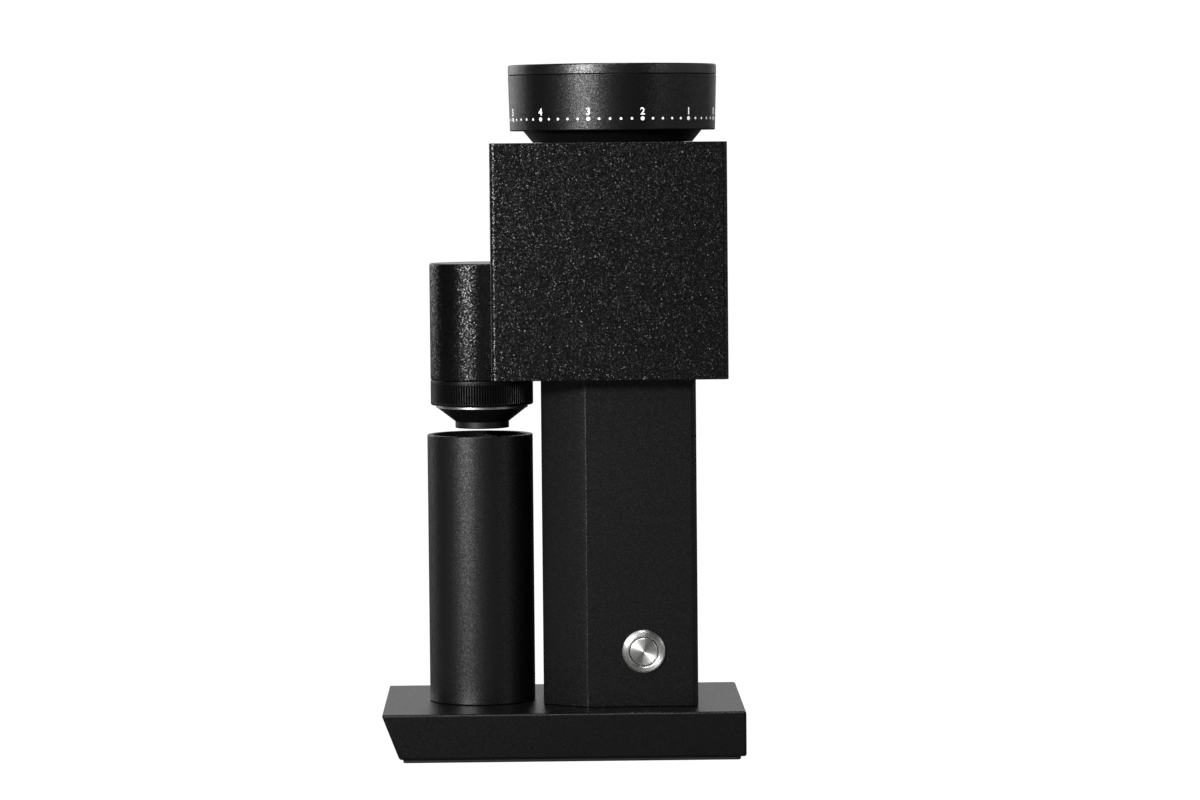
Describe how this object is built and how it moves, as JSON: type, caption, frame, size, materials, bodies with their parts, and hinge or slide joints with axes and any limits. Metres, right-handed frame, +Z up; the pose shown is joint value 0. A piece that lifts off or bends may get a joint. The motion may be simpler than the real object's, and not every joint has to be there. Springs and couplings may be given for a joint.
{
  "type": "burr coffee grinder",
  "caption": "Electric burr coffee grinder: cube head on a column, round numbered dial with hopper and lid, outlet tube, tall cup, heavy base.",
  "frame": {"origin": "on the table, under the middle of the base's footprint", "axes": "+Z up; the cup and outlet tube are on the -X side; the power button faces -Y"},
  "size_m": [0.1862, 0.122, 0.3555],
  "materials": {
    "powder_black": "coarse textured powder coat",
    "satin_black": "fine textured satin coat",
    "anodised_black": "satin black anodised",
    "button_steel": "spun, satin",
    "zinc_steel": "dark zinc plate",
    "tool_steel": "ground",
    "cast_aluminium": "machined, matt",
    "rubber": "matt",
    "plastic": "moulded, fine texture",
    "board": "solder mask"
  },
  "bodies": {
    "frame": {"head_shell": "powder_black", "head_top_plate": "powder_black", "column_shell": "powder_black", "base_housing": "satin_black", "neck_cone": "anodised_black", "chute_housing": "anodised_black", "chute_cap": "anodised_black", "button_body": "button_steel", "base_ballast": "zinc_steel", "base_bottom_plate": "zinc_steel", "base_screw_1": "zinc_steel", "base_screw_2": "zinc_steel", "base_screw_3": "zinc_steel", "base_screw_4": "zinc_steel", "tie_rod_1": "zinc_steel", "tie_rod_2": "zinc_steel", "tie_rod_3": "zinc_steel", "tie_rod_4": "zinc_steel", "button_nut": "zinc_steel", "motor_screw_1": "zinc_steel", "motor_screw_2": "zinc_steel", "motor_screw_3": "zinc_steel", "inlet_screw_1": "zinc_steel", "inlet_screw_2": "zinc_steel", "motor_housing": "zinc_steel", "stator_core": "zinc_steel", "motor_bearing_upper": "tool_steel", "motor_bearing_lower": "tool_steel", "guide_pin_1": "tool_steel", "guide_pin_2": "tool_steel", "guide_pin_3": "tool_steel", "detent_spring": "tool_steel", "button_spring": "tool_steel", "wave_spring": "tool_steel", "head_bottom_plate": "cast_aluminium", "grind_chamber": "cast_aluminium", "motor_top_bell": "cast_aluminium", "motor_bottom_bell": "cast_aluminium", "controller_bracket": "cast_aluminium", "base_mat": "rubber", "shaft_seal": "rubber", "mains_inlet": "plastic", "controller_board": "board"},
    "rotor": {"rotor_core": "zinc_steel", "motor_shaft": "tool_steel", "lower_burr_carrier": "cast_aluminium", "lower_burr": "tool_steel", "hub_nut": "tool_steel"},
    "dial": {"dial": "anodised_black", "dial_retaining_ring": "tool_steel", "hopper_funnel": "satin_black"},
    "burr_carrier": {"upper_burr_carrier": "cast_aluminium", "upper_burr": "tool_steel"},
    "lid": {"lid": "anodised_black"},
    "button": {"button_cap": "button_steel"},
    "outlet": {"outlet_funnel": "anodised_black"},
    "outlet_ring": {"knurled_ring": "anodised_black"},
    "cup": {"cup": "anodised_black"},
    "detent": {"detent_ball": "tool_steel"}
  },
  "joints": [
    {"name": "dial_turn", "type": "hinge", "parent": "frame", "child": "dial", "pos_m": [0.0285, 0, 0.335], "axis": [0, 0, 1], "range_deg": [-60, 270]},
    {"name": "burr_lift", "type": "slide", "parent": "frame", "child": "burr_carrier", "axis": [0, 0, 1], "range_m": [-0.0003, 0.0012], "deforming": ["wave_spring"]},
    {"name": "rotor_spin", "type": "hinge", "parent": "frame", "child": "rotor", "pos_m": [0.0285, 0, 0.2], "axis": [0, 0, 1], "continuous": true},
    {"name": "lid_lift", "type": "slide", "parent": "dial", "child": "lid", "axis": [0, 0, 1], "range_m": [0, 0.06]},
    {"name": "button_press", "type": "slide", "parent": "frame", "child": "button", "axis": [0, 1, 0], "range_m": [0, 0.002], "stiffness_N_per_m": 500, "springref_m": -0.002, "deforming": ["button_spring"]},
    {"name": "outlet_drop", "type": "slide", "parent": "frame", "child": "outlet", "axis": [0, 0, -1], "range_m": [0, 0.012]},
    {"name": "ring_turn", "type": "hinge", "parent": "outlet", "child": "outlet_ring", "pos_m": [-0.0408, 0, 0.186], "axis": [0, 0, 1], "range_deg": [0, 60]},
    {"name": "cup_slide", "type": "slide", "parent": "frame", "child": "cup", "axis": [-1, 0, 0], "range_m": [0, 0.12]},
    {"name": "detent_press", "type": "slide", "parent": "frame", "child": "detent", "axis": [0, 0, -1], "range_m": [0, 0.0008], "stiffness_N_per_m": 300, "springref_m": -0.001, "deforming": ["detent_spring"]}
  ],
  "couplings": [
    {"joint": "burr_lift", "follows": "dial_turn", "m_per_rad": 0.00023873}
  ]
}
